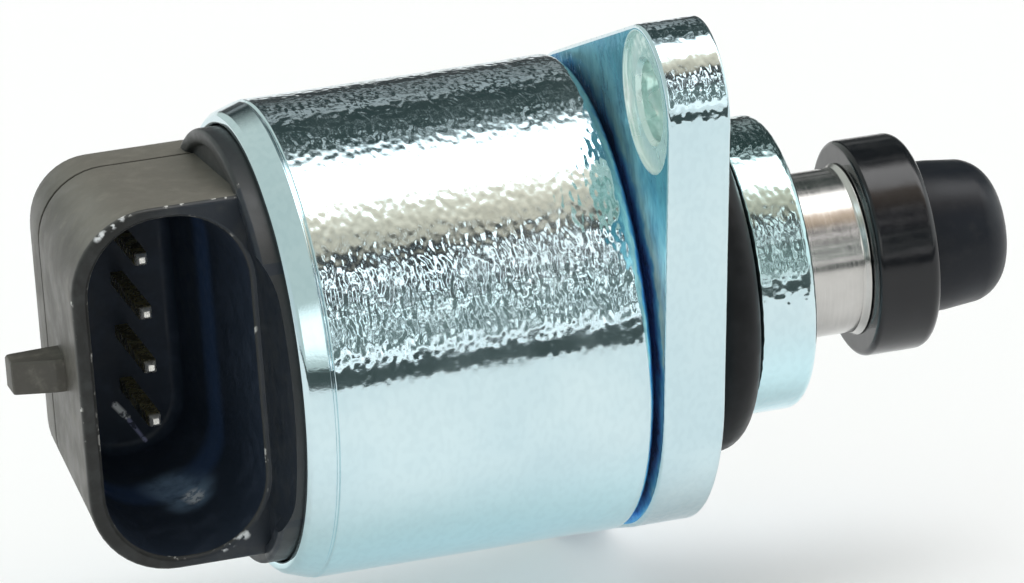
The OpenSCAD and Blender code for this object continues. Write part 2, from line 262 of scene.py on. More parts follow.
def plastic(name, color, dust_and_sheen=(0.10, 0.095, 0.085), rough=(0.34, 0.50), grain=0.0045, amount=0.16, coat=0.0, shine=0.5, groove=False):
    """Moulded plastic: a fine eroded grain, slightly uneven gloss and a light dusting. With groove set, the top faces
    also get a painted sheen and the groove a painted shade line.
    """
    f = Finish(name, color=color, rough=rough[0], Coat_Weight=coat, Coat_Roughness=0.18, Specular_IOR_Level=shine)
    fine = f.noise(0.11, 3, 0.6)
    cloud = f.noise(4.0, 3, 0.6)
    film = f.noise(1.1, 3, 0.65, shift=5.0)
    col = f.blend(f.span(film, 0.45, 0.80, 0.0, amount), color, dust_and_sheen)
    col = f.blend(f.span(cloud, 0.35, 0.7, 0.0, 0.5), col, tuple(c * 0.75 for c in color))
    if groove:
        x, y, z = f.split()
        # Painted sheen: the top faces are painted lighter, mixed towards the same light grey.
        col = f.blend(f.span(z, 0.0095, 0.0118, 0.0, 0.48), col, dust_and_sheen)
        # Painted shade: a dark line painted along the groove round the walls.
        line = f.math("MULTIPLY", f.span(y, 0.00684, 0.00692), f.span(y, 0.00728, 0.00736, 1.0, 0.0))
        col = f.blend(f.math("MULTIPLY", line, 0.55), col, (0.012, 0.011, 0.010))
    return f.finish(col, f.span(f.math("ADD", f.math("MULTIPLY", cloud, 0.6), f.math("MULTIPLY", film, 0.4)), 0.35, 0.65, *rough),
                    f.bump(fine, grain, 1.0, f.bump(cloud, 0.03)))


def rim_plastic(name):
    """The shroud's rim: darker than the walls, neutral at its far end and bluer towards the can, with a painted
    highlight on its rounded edge, white specks of painted glint there, and two painted highlight patches on its
    corners.
    """
    f = Finish(name, color=(0.024, 0.026, 0.031), rough=0.36, Specular_IOR_Level=0.26)
    x, y, z = f.split()
    # Painted highlight: the band on the rim's rounded edge, with white specks of painted glint on it.
    edge_highlight = f.span(y, -0.00694, -0.00672)
    edge_glints = f.span(f.math("ADD", f.noise(0.75, 3, 0.6), f.math("MULTIPLY", f.noise(4.5, 1, 0.5, shift=2.0), 0.75)), 1.02, 1.08)
    # Neutral and darker towards the far end, bluer towards the can.
    col = f.blend(f.span(x, -0.0385, -0.0320), (0.019, 0.0195, 0.019), (0.022, 0.028, 0.038))
    col = f.blend(f.span(f.noise(1.3, 3, 0.6), 0.42, 0.75, 0.0, 0.5), col, (0.046, 0.049, 0.050))
    col = f.blend(f.math("MULTIPLY", edge_highlight, 0.75), col, (0.085, 0.085, 0.082))
    col = f.blend(f.math("MULTIPLY", edge_highlight, edge_glints), col, (0.62, 0.62, 0.60))
    # Painted highlight: two light patches on the rim's corners.
    for a, b in (((-39.9, -6.97, 11.35), (-37.9, -6.97, 12.65)), ((-33.5, -6.97, -11.85), (-31.5, -6.97, -11.05))):
        corner_highlight = f.math("MULTIPLY", f.span(f.near(a, b), 0.00012, 0.00042, 1.0, 0.0), f.span(f.noise(0.60, 2, 0.6, shift=4.0), 0.46, 0.60))
        col = f.blend(corner_highlight, col, (0.66, 0.68, 0.70))
    return f.finish(col, f.span(f.noise(2.0), 0.35, 0.65, 0.30, 0.44), f.bump(f.noise(0.12, 3, 0.6), 0.006, 1.0, f.bump(f.noise(2.2, 2), 0.03)))


def socket_plastic(name):
    """Inside of the shroud: blue-black with a painted bluish sheen, a painted blue reflection stripe, a painted glint
    on its lower wall and painted reflection streaks on its floor.
    """
    f = Finish(name, color=(0.030, 0.042, 0.066), rough=0.42, Specular_IOR_Level=0.25)
    x, y, z = f.split()
    film = f.noise(1.6, 3, 0.6)
    # Painted sheen: the blue-black colour, uneven in patches.
    col = f.blend(f.span(film, 0.42, 0.75, 0.0, 0.6), (0.026, 0.037, 0.058), (0.050, 0.066, 0.100))
    # Painted reflection: a blue stripe round the walls partway in.
    stripe = f.math("MULTIPLY", f.span(y, 0.0020, 0.0038), f.span(y, 0.0052, 0.0070, 1.0, 0.0))
    col = f.blend(f.math("MULTIPLY", stripe, 0.7), col, (0.055, 0.105, 0.230))
    # Painted glint: a bluish patch on the lower wall.
    glint_patch = f.math("MULTIPLY", f.span(f.near((-34.0, 5.2, -11.10), (-33.0, 2.0, -11.03)), 0.0004, 0.0026, 1.0, 0.0), f.span(film, 0.30, 0.62, 0.25, 1.0))
    col = f.blend(glint_patch, col, (0.27, 0.40, 0.58))
    # Painted glints: a bright core on the lower wall and two reflection streaks on the floor.
    for a, b, size, tone in (((-33.0, 2.4, -11.02), (-32.8, 1.5, -11.0), 0.0006, (0.86, 0.92, 1.0)), ((-35.62, 12.3, -7.28), (-34.85, 12.3, -8.3), 0.00022, (0.95, 0.98, 1.0)),
                             ((-34.75, 12.3, -8.5), (-33.74, 12.2, -10.14), 0.00015, (0.34, 0.36, 0.56))):
        glint_mark = f.math("MULTIPLY", f.span(f.near(a, b), size * 0.4, size * 1.5, 1.0, 0.0), f.span(f.noise(0.45, 2, 0.6), 0.38, 0.52, 0.12, 1.0))
        col = f.blend(glint_mark, col, tone)
    return f.finish(col, f.span(film, 0.35, 0.65, 0.34, 0.50), f.bump(f.noise(0.11, 3, 0.6), 0.0045, 1.0, f.bump(f.noise(4.0, 3, 0.6), 0.03)))


def pin_brass(name):
    """Terminal brass: a painted highlight on the tips, and darker further in, partly tarnish and partly painted shade.
    """
    f = Finish(name, color=(0.9, 0.8, 0.5), metallic=0.7, rough=0.28)
    x, y, z = f.split()
    cloud = f.noise(0.8, 3, 0.6)
    tarnish_and_shade = f.ramp(cloud, [(0.36, (0.17, 0.145, 0.060)), (0.60, (0.50, 0.44, 0.20))])
    # Painted highlight on the tips; further in, the darker colour of tarnish and painted shade.
    col = f.blend(f.span(y, 0.00372, 0.00412), (1.0, 0.985, 0.93), tarnish_and_shade)
    return f.finish(col, f.span(cloud, 0.3, 0.7, 0.20, 0.34), f.bump(f.noise(0.12, 2), 0.003))


def rubber(name, color, rough=(0.30, 0.46)):
    f = Finish(name, color=color, rough=rough[0], Specular_IOR_Level=0.16)
    fine = f.noise(0.13, 3, 0.6)
    film = f.noise(1.4, 2, 0.6)
    col = f.blend(f.span(film, 0.4, 0.8, 0.0, 0.5), color, tuple(c * 1.9 + 0.004 for c in color))
    return f.finish(col, f.span(film, 0.3, 0.7, *rough), f.bump(fine, 0.004))


def copper(name):
    """Enamelled wire wound in layers: ribs run round the axis."""
    f = Finish(name, color=(0.50, 0.20, 0.08), metallic=1.0, rough=0.28, Coat_Weight=0.5, Coat_Roughness=0.12)
    wave = f.put("ShaderNodeTexWave", wave_type="BANDS", bands_direction="X", wave_profile="SIN")
    wave.inputs["Scale"].default_value = 1.0 / (0.14 * MM) / 20.0 * 3.14159 * 2.0 / 2.0
    wave.inputs["Distortion"].default_value = 0.6
    wave.inputs["Detail"].default_value = 1.0
    f.feed(wave.inputs["Vector"], f.place)
    ribs = wave.outputs["Fac"]
    col = f.ramp(ribs, [(0.15, (0.20, 0.06, 0.025)), (0.75, (0.62, 0.27, 0.11))])
    return f.finish(col, f.span(f.noise(2.0), 0.3, 0.7, 0.22, 0.36), f.bump(ribs, 0.05))


def plain_metal(name, color, rough, size=0.35, depth=0.01, metallic=1.0):
    """Stamped or sintered metal with pores of that size."""
    f = Finish(name, color=color, metallic=metallic, rough=rough)
    pores = f.noise(size, 4, 0.65)
    cloud = f.noise(5.0, 2)
    col = f.ramp(pores, [(0.36, tuple(c * 0.62 for c in color)), (0.58, color)])
    return f.finish(col, f.span(cloud, 0.3, 0.7, rough * 0.85, rough * 1.2), f.bump(pores, depth))


PALE = (0.655, 0.80, 0.84)
DEEP = (0.595, 0.750, 0.800)
M = {
    "zinc_can": zinc("zinc_can", PALE, DEEP, grain=0.64, relief=0.050, where="can"),
    "zinc_flange": zinc("zinc_flange", PALE, DEEP, grain=0.58, relief=0.042, where="flange"),
    "zinc_back": zinc("zinc_back", (0.40, 0.66, 0.74), (0.24, 0.50, 0.62), grain=0.6, relief=0.034, rough=(0.16, 0.26), tint=blue_to_axis, metallic=0.5,
                      Specular_IOR_Level=0.35, Specular_Tint=(0.28, 0.72, 1.0, 1)),
    "zinc_inside": zinc("zinc_inside", (0.50, 0.58, 0.62), (0.36, 0.45, 0.50), relief=0.02),
    "zinc_spot": zinc("zinc_spot", (0.93, 0.99, 0.97), (0.60, 0.80, 0.76), grain=0.7, relief=0.09, rough=(0.24, 0.36), metallic=0.8),
    "bright": steel("bright_steel", (0.60, 0.585, 0.565)),
    "race": steel("bearing_steel", (0.60, 0.60, 0.60), (0.10, 0.16), 0.0008),
    "pole": plain_metal("pole_steel", (0.42, 0.43, 0.43), 0.34, 0.6, 0.006),
    "black": plastic("black_plastic", (0.019, 0.0235, 0.027), dust_and_sheen=(0.085, 0.078, 0.066)),
    # The walls are painted lighter than the black of the rest of the moulding: painted sheen together with dusting.
    "wall": plastic("cap_wall", (0.071, 0.066, 0.056), dust_and_sheen=(0.25, 0.235, 0.20), rough=(0.40, 0.56), grain=0.009, amount=0.45, groove=True),
    "rim": rim_plastic("cap_rim"),
    "socket": socket_plastic("socket_inside"),
    "collar": plastic("collar_plastic", (0.0050, 0.0055, 0.0078), rough=(0.12, 0.22), grain=0.0012, amount=0.05, coat=0.0, shine=0.44),
    "tip": plastic("tip_plastic", (0.0098, 0.0122, 0.0175), rough=(0.30, 0.42), grain=0.003, amount=0.08, shine=0.22),
    "natural": plastic("natural_plastic", (0.66, 0.60, 0.46), dust_and_sheen=(0.45, 0.40, 0.30), amount=0.3),
    "brass": steel("cage_brass", (0.80, 0.62, 0.30), (0.14, 0.24), 0.001),
    "pin": pin_brass("terminal_brass"),
    "copper": copper("copper_wire"),
    "rubber": rubber("black_rubber", (0.0080, 0.0088, 0.0098)),
    "brown": rubber("brown_rubber", (0.12, 0.035, 0.018)),
    "magnet": plain_metal("magnet_ferrite", (0.055, 0.055, 0.060), 0.45, 0.22, 0.012, 0.15),
    "bronze": plain_metal("bush_bronze", (0.52, 0.34, 0.15), 0.38, 0.25, 0.015),
}


# ---------------------------------------------------------------- mesh tools

def soft(points, closed=True, steps=5):
    """Rounds the corners of an outline. A point is (a, b) or (a, b, radius)."""
    out = []
    n = len(points)
    for i, p in enumerate(points):
        radius = p[2] if len(p) > 2 else 0.0
        c = Vector(p[:2])
        if radius <= 0 or (not closed and i in (0, n - 1)):
            out.append((c.x, c.y))
            continue
        u = Vector(points[i - 1][:2]) - c
        v = Vector(points[(i + 1) % n][:2]) - c
        lu, lv = u.length, v.length
        u, v = u / lu, v / lv
        half = 0.5 * math.acos(max(-1.0, min(1.0, u.dot(v))))
        if half > math.radians(89.7):
            out.append((c.x, c.y))
            continue
        t = min(radius / math.tan(half), 0.48 * lu, 0.48 * lv)
        radius = t * math.tan(half)
        centre = c + (u + v).normalized() * (radius / math.sin(half))
        s, e = c + u * t - centre, c + v * t - centre
        a0, a1 = math.atan2(s.y, s.x), math.atan2(e.y, e.x)
        d = (a1 - a0 + math.pi) % (2 * math.pi) - math.pi
        k = max(2, math.ceil(abs(d) / (math.pi / 2) * steps))
        for j in range(k + 1):
            a = a0 + d * j / k
            out.append((centre.x + radius * math.cos(a), centre.y + radius * math.sin(a)))
    return out


def arc(cx, cy, r, a0, a1, n):
    return [(cx + r * math.cos(math.radians(a0 + (a1 - a0) * i / n)),
             cy + r * math.sin(math.radians(a0 + (a1 - a0) * i / n))) for i in range(n + 1)]


def ring_of(x, r, seg):
    return [(x, r * math.cos(2 * math.pi * k / seg), r * math.sin(2 * math.pi * k / seg)) for k in range(seg)]


def lathe(profile, seg=192, closed=True):
    """Points (x, r) turned about the X axis. A closed profile stays off the axis; an open one ends on it or stays open."""
    verts, rings, faces = [], [], []
    for x, r in profile:
        if r < 1e-6:
            rings.append([len(verts)])
            verts.append((x, 0.0, 0.0))
        else:
            rings.append(list(range(len(verts), len(verts) + seg)))
            verts += ring_of(x, r, seg)
    pairs = list(zip(rings, rings[1:]))
    if closed:
        pairs.append((rings[-1], rings[0]))
    for a, b in pairs:
        if len(a) == 1 and len(b) == 1:
            continue
        for k in range(seg):
            k2 = (k + 1) % seg
            if len(a) == 1:
                faces.append((a[0], b[k2], b[k]))
            elif len(b) == 1:
                faces.append((a[k], a[k2], b[0]))
            else:
                faces.append((a[k], a[k2], b[k2], b[k]))
    return verts, faces


def loft(loops, caps=True):
    """Loops of equal count, joined by quads, with the two ends closed by one face each."""
    n = len(loops[0])
    verts = [p for loop in loops for p in loop]
    faces = []
    for i in range(len(loops) - 1):
        for k in range(n):
            a, b = i * n + k, i * n + (k + 1) % n
            faces.append((a, b, b + n, a + n))
    if caps:
        faces.append(tuple(range(n))[::-1])
        faces.append(tuple(range((len(loops) - 1) * n, len(loops) * n)))
    return verts, faces


def solid(name, verts, faces, merge=True):
    """A mesh object with outward normals, from millimetres."""
    me = bpy.data.meshes.new(name)
    me.from_pydata([(x * MM, y * MM, z * MM) for x, y, z in verts], [], faces)
    bm = bmesh.new()
    bm.from_mesh(me)
    if merge:
        bmesh.ops.remove_doubles(bm, verts=bm.verts, dist=2e-7)
    bmesh.ops.recalc_face_normals(bm, faces=bm.faces)
    bm.to_mesh(me)
    bm.free()
    o = bpy.data.objects.new(name, me)
    scene.collection.objects.link(o)
    return o


def combine(target, tool, operation):
    m = target.modifiers.new("b", "BOOLEAN")
    m.operation, m.object, m.solver = operation, tool, "EXACT"
    bpy.context.view_layer.update()
    me = bpy.data.meshes.new_from_object(target.evaluated_get(bpy.context.evaluated_depsgraph_get()))
    target.modifiers.clear()
    target.data = me
    bpy.data.objects.remove(tool)
    return target


def dress(o, mats, body, slot, *stands_for, sharp=32.0, weighted=True, pick=None):
    """Materials, shading, body and the CAD nodes that the piece stands for. The slot argument is not used."""
    me = o.data
    me.materials.clear()
    for m in mats if isinstance(mats, (list, tuple)) else [mats]:
        me.materials.append(M[m])
    for p in me.polygons:
        p.material_index = pick(p) if pick else 0
    me.shade_smooth()
    me.set_sharp_from_angle(angle=math.radians(sharp))
    if weighted:
        w = o.modifiers.new("even_shading", "WEIGHTED_NORMAL")
        w.keep_sharp = True
        w.weight = 60
    if body:
        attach(o, body)
    if stands_for:
        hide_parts(*stands_for)
    return o


# ---------------------------------------------------------------- motor can

def build_can():
    profile = soft([
        (-4.8, 9.62, 0.12), (-4.8, 16.5, 0.85), (-7.35, 16.5, 1.2), (-8.15, 16.45, 1.2),
        (-26.70, 16.44, 0.1), (-26.80, 16.27, 0.04), (-26.92, 16.27, 0.04), (-27.00, 16.38, 0.1),
        (-28.50, 15.87, 0.4), (-28.8, 15.56, 0.25), (-28.8, 15.03, 0.22),
        (-27.96, 15.03, 0.1), (-27.40, 15.60, 0.3), (-5.7, 15.60, 0.3), (-5.7, 9.62, 0.12)])
    o = solid("can_shell", *lathe(profile, 288))
    inner = lambda p: 1 if (p.center.y ** 2 + p.center.z ** 2) ** 0.5 < 0.01565 and p.center.x > -0.0284 else 0
    return dress(o, ["zinc_can", "zinc_inside"], "housing", "zinc_steel", "can", pick=inner)


# ---------------------------------------------------------------- flange and nose

EAR = Vector((-math.sin(math.radians(42)), math.cos(math.radians(42))))
SIDE = Vector((math.cos(math.radians(42)), math.sin(math.radians(42))))
EAR_L, EAR_R, MID_R, BACK = 24.1, 5.199, 16.6, -4.3


def flange_loop(inset):
    """Outline of the flange in the ears' own plane, moved inwards."""
    t = math.degrees(math.acos((MID_R - EAR_R) / EAR_L))
    e, m = EAR_R - inset, MID_R - inset
    return (arc(EAR_L, 0, e, -t, t, 32) + arc(0, 0, m, t, 180 - t, 26)
            + arc(-EAR_L, 0, e, 180 - t, 180 + t, 32) + arc(0, 0, m, 180 + t, 360 - t, 26))


def on_flange(points, x):
    return [(x, a * EAR.x + b * SIDE.x, a * EAR.y + b * SIDE.y) for a, b in points]


def build_flange():
    verts, faces, tags = [], [], []

    def add(loop):
        verts.extend(loop)
        return list(range(len(verts) - len(loop), len(verts)))

    def join(a, b, tag):
        n = len(a)
        for k in range(n):
            faces.append((a[k], a[(k + 1) % n], b[(k + 1) % n], b[k]))
            tags.append(tag)

    def chain(loops, tag):
        for a, b in zip(loops, loops[1:]):
            join(a, b, tag)

    def sheet(outer, holes, tag):
        """Flat face at a loop's station, with holes, all given as vertex numbers."""
        ids = list(outer) + [i for h in holes for i in h]
        flat = [Vector((verts[i][1], verts[i][2])) for i in ids]
        edges, start = [], 0
        for loop in [outer, *holes]:
            n = len(loop)
            edges += [(start + k, start + (k + 1) % n) for k in range(n)]
            start += n
        made, _, tris, origin, _, _ = delaunay_2d_cdt(flat, edges, [], 1, 1e-6)
        rings = [[Vector((verts[i][1], verts[i][2])) for i in h] for h in holes]

        def inside(p, ring):
            hit, n = False, len(ring)
            for k in range(n):
                a, b = ring[k], ring[(k + 1) % n]
                if (a.y > p.y) != (b.y > p.y) and p.x < (b.x - a.x) * (p.y - a.y) / (b.y - a.y) + a.x:
                    hit = not hit
            return hit

        for t in tris:
            c = sum((made[i] for i in t), Vector((0, 0))) / len(t)
            if any(inside(c, r) for r in rings):
                continue
            faces.append(tuple(ids[origin[i][0]] for i in t))
            tags.append(tag)

    e = 0.26
    edge = ([(e * (1 - math.sin(math.radians(a))), BACK + e * (1 - math.cos(math.radians(a)))) for a in (0, 22.5, 45, 67.5, 90)]
            + [(e * (1 - math.cos(math.radians(a))), -e * (1 - math.sin(math.radians(a)))) for a in (0, 22.5, 45, 67.5, 90)])
    rims = [add(on_flange(flange_loop(i), x)) for i, x in edge]
    chain(rims, 0)
    backs, fronts = [], []
    for s in (-1, 1):
        spot = soft([(BACK, 4.86), (BACK, 4.70, 0.12), (BACK + 0.3, 4.70, 0.18), (BACK + 0.3, 3.0), (BACK + 0.6, 2.70, 0.1),
                     (-0.30, 2.70, 0.1), (0.0, 3.02)], closed=False, steps=4)
        loops = [add(on_flange([(s * EAR_L + r * math.cos(2 * math.pi * k / 64), r * math.sin(2 * math.pi * k / 64))
                                for k in range(64)], x)) for x, r in spot]
        for (xa, ra), (xb, rb), a, b in zip(spot, spot[1:], loops, loops[1:]):
            join(a, b, 2)
        backs.append(loops[0])
        fronts.append(loops[-1])
    nose = soft([
        (BACK, 12.9), (BACK, 12.0, 0.15), (-4.8, 12.0, 0.12), (-4.8, 9.55, 0.1), (-10.8, 9.55, 0.35), (-10.8, 8.0, 0.3),
        (-4.8, 8.0, 0.1), (-4.8, 6.6, 0.1), (3.0, 6.6, 0.1), (3.0, 5.83, 0.1), (6.2, 5.83, 0.08), (6.2, 7.0, 0.1),
        (7.6, 7.0, 0.1), (7.6, 5.83, 0.08), (8.84, 5.83, 0.35), (8.84, 10.25, 0.75), (4.7, 10.25, 0.28),
        (4.7, 9.0, 0.25), (0.0, 9.0, 0.25), (0.0, 9.9)], closed=False, steps=6)
    seg = 224
    rings = [add([(x, r * math.cos(2 * math.pi * k / seg), r * math.sin(2 * math.pi * k / seg)) for k in range(seg)]) for x, r in nose]
    for (xa, ra), (xb, rb), a, b in zip(nose, nose[1:], rings, rings[1:]):
        tag = 1 if xb < -4.29 and rb > 9.6 else (3 if (rb < 8.2 and ra < 8.2 and xb < 8.3) or xb < -4.7 else 0)
        join(a, b, tag)
    sheet(rims[0], [*backs, rings[0]], 1)
    sheet(rims[-1], [*fronts, rings[-1]], 0)
    o = solid("flange_nose_body", verts, faces, merge=False)
    tagged = dict(enumerate(tags))
    return dress(o, ["zinc_flange", "zinc_back", "zinc_spot", "zinc_inside"], "housing", "zinc_steel", "flange_nose",
                 pick=lambda p: tagged.get(p.index, 0), sharp=30)


# ---------------------------------------------------------------- seals

def build_rings():
    section = []
    for i in range(40):
        a = 2 * math.pi * i / 40
        flash = 0.018 * math.exp(-((abs((a + math.pi) % (2 * math.pi) - math.pi)) / 0.10) ** 2)
        section.append((2.68 + 1.70 * math.sin(a), 10.74 + (1.70 + flash) * math.cos(a)))
    o = solid("nose_seal_ring", *lathe(section, 224))
    dress(o, "rubber", "housing", "black_rubber", "nose_o_ring", sharp=60)
    lip = soft([(6.25, 6.95, 0.1), (6.25, 6.1, 0.12), (6.62, 5.82, 0.06), (6.9, 6.25, 0.1), (7.2, 5.82, 0.06), (7.55, 6.1, 0.12), (7.55, 6.95, 0.1)])
    o = solid("stem_wiper_lips", *lathe(lip, 128))
    dress(o, "rubber", "housing", "black_rubber", "stem_wiper", sharp=50)


# ---------------------------------------------------------------- rear cap and connector

SOCK_X1, SOCK_W, SOCK_H, SOCK_R = -29.67, 11.17, 23.88, 5.16
SOCK_X0 = SOCK_X1 - SOCK_W
RIM_Y, FLOOR_Y = -6.97, 12.33
BLOCK_X0, BLOCK_H, BLOCK_R, BLOCK_X1 = -41.98, 12.738, 5.76, -29.1


def oblong(x0, x1, h, r0, r1, y, n=12):
    """Round-cornered outline in the plane of the rim: corner radius r0 away from the can and r1 next to it."""
    out = []
    for cx, cz, r, a in ((x1 - r1, h - r1, r1, 0), (x0 + r0, h - r0, r0, 90), (x0 + r0, -h + r0, r0, 180), (x1 - r1, -h + r1, r1, 270)):
        out += [(cx + r * math.cos(math.radians(a + 90 * i / n)), y, cz + r * math.sin(math.radians(a + 90 * i / n))) for i in range(n + 1)]
    return out


def build_cap():
    disc = soft([(-25.3, 0.0), (-25.3, 3.2), (-25.5, 3.3)], closed=False)
    disc = [(-28.7, 0.0)] + soft([
        (-28.7, 0.001), (-28.7, 3.3, 0.1), (-27.6, 3.3), (-27.6, 4.6, 0.1), (-25.3, 4.6, 0.15), (-25.3, 15.5, 0.2),
        (-25.9, 15.5), (-25.9, 14.5, 0.1), (-27.1, 14.5, 0.1), (-27.1, 15.5), (-27.35, 15.5, 0.1), (-27.95, 14.93, 0.1),
        (-30.2, 14.93, 0.32), (-30.2, 13.95, 0.25), (-29.78, 13.75, 0.2), (-29.78, 0.001)], closed=False, steps=5)[1:-1] + [(-29.78, 0.0)]
    cap = solid("cap_and_socket", *lathe(disc, 224, closed=False))

    levels = [(RIM_Y, 0.34), (RIM_Y + 0.03, 0.20), (RIM_Y + 0.12, 0.08), (RIM_Y + 0.30, 0.0)]
    slope = 1.25 / (11.2 - RIM_Y)
    levels += [(y, slope * (y - RIM_Y)) for y in (-4.0, 0.0, 4.0, 6.84)]
    levels += [(6.90, 0.99), (6.95, 1.32), (7.25, 1.34), (7.31, 1.02)] + [(y, slope * (y - RIM_Y)) for y in (7.37, 9.0, 10.8)]
    levels += [(11.25 + 2.25 * math.sin(math.radians(a)), 1.39 + 2.2 * (1 - math.cos(math.radians(a)))) for a in (0, 11, 22, 33, 44, 55, 66, 77, 90)]
    block = solid("block", *loft([oblong(BLOCK_X0 + i, BLOCK_X1, BLOCK_H - i, BLOCK_R - i, 0.3, y) for y, i in levels]))
    combine(cap, block, "UNION")

    outline = soft([(-39.9, -0.9), (-42.18, -0.7, 0.8), (-45.08, 0.1, 0.25), (-45.08, 2.2, 0.3), (-42.1, 2.4, 0.4), (-39.9, 2.5)], closed=True, steps=4)
    tab = []
    for z, i in ((-1.2, 0.22), (-1.14, 0.08), (-0.98, 0.0), (0.98, 0.0), (1.14, 0.08), (1.2, 0.22)):
        middle = Vector((-42.4, 0.9))
        row = []
        for a, b in outline:
            if a < -41.0:
                d = Vector((a, b)) - middle
                row.append((a + min(i, abs(d.x)) * (1 if a < -43.0 else 0), b + (i if b < 0.9 else -i), z))
            else:
                row.append((a, b + (i if b < 0.9 else -i), z))
        tab.append(row)
    combine(cap, solid("tab", *loft(tab)), "UNION")

    void = []
    h = SOCK_H / 2
    for y, i in ((-30.0, -0.34), (RIM_Y - 0.02, -0.34), (RIM_Y + 0.04, -0.22), (RIM_Y + 0.14, -0.09), (RIM_Y + 0.32, 0.0),
                 (0.0, 0.35), (6.0, 0.72), (FLOOR_Y - 0.9, 1.13), (FLOOR_Y - 0.45, 1.30), (FLOOR_Y - 0.15, 1.56), (FLOOR_Y, 1.95)):
        void.append(oblong(SOCK_X0 + i, SOCK_X1 - i, h - i, SOCK_R - i, SOCK_R - i, y))
    combine(cap, solid("void", *loft(void)), "DIFFERENCE")
    draft = [(-30.0, 0.0), (RIM_Y + 0.32, 0.0), (0.0, 0.35), (6.0, 0.72), (FLOOR_Y - 0.9, 1.13), (FLOOR_Y - 0.45, 1.30),
             (FLOOR_Y - 0.15, 1.56), (FLOOR_Y + 0.1, 1.56)]

    def surface(p):
        x, y, z = (v / MM for v in p.center)
        if RIM_Y + 0.32 < y < FLOOR_Y + 0.05:
            i = next(a[1] + (b[1] - a[1]) * (y - a[0]) / (b[0] - a[0]) for a, b in zip(draft, draft[1:]) if y <= b[0]) - 0.07
            x0, x1, h, r = SOCK_X0 + i, SOCK_X1 - i, SOCK_H / 2 - i, SOCK_R - i
            if x0 < x < x1 and abs(z) < h:
                if math.hypot(max(x0 + r - x, x - x1 + r, 0.0), max(abs(z) - h + r, 0.0)) < r:
                    return 2
        if y < RIM_Y + 0.34 and x < -29.0:
            return 1
        return 3 if x > -30.22 else 0

    return dress(cap, ["wall", "rim", "socket", "black"], "housing", "black_plastic", "rear_cap", sharp=34, pick=surface)


def build_terminals():
    verts, faces = [], []
    pin_x = -34.70
    for k in range(4):
        z0 = (k - 1.5) * 3.87
        s = 0.45
        path = [(pin_x - 0.20, 3.53, 0.20), (pin_x + 0.20, 3.53, 0.20), (pin_x + 0.37, 3.70, 0.37), (pin_x + s, 4.12, s), (pin_x + s, 12.5, s),
                (-28.2, 12.5, s), (-28.2, 10.0, s), (-25.3, 10.0, s), (-25.3, 10.5, s), (-27.7, 10.5, s), (-27.7, 13.0, s),
                (pin_x - s, 13.0, s), (pin_x - s, 4.12, s), (pin_x - 0.37, 3.70, 0.37)]
        n, base = len(path), len(verts)
        for side in (-1, 1):
            verts += [(x, y, z0 + side * w) for x, y, w in path]
        for i in range(n):
            j = (i + 1) % n
            faces.append((base + i, base + j, base + n + j, base + n + i))
        tris = [(0, 1, 2, 13), (13, 2, 3, 12), (12, 3, 4, 11), (11, 4, 5, 10), (10, 5, 6, 9), (9, 6, 7, 8)]
        for q in tris:
            faces.append(tuple(base + i for i in q[::-1]))
            faces.append(tuple(base + n + i for i in q))
    o = solid("terminals", verts, faces)
    bevel = o.modifiers.new("edges", "BEVEL")
    bevel.width, bevel.segments, bevel.limit_method, bevel.angle_limit = 0.05 * MM, 2, "ANGLE", math.radians(50)
    return dress(o, "pin", "housing", "terminal_brass", "terminal_pins", sharp=40)


# ---------------------------------------------------------------- pintle

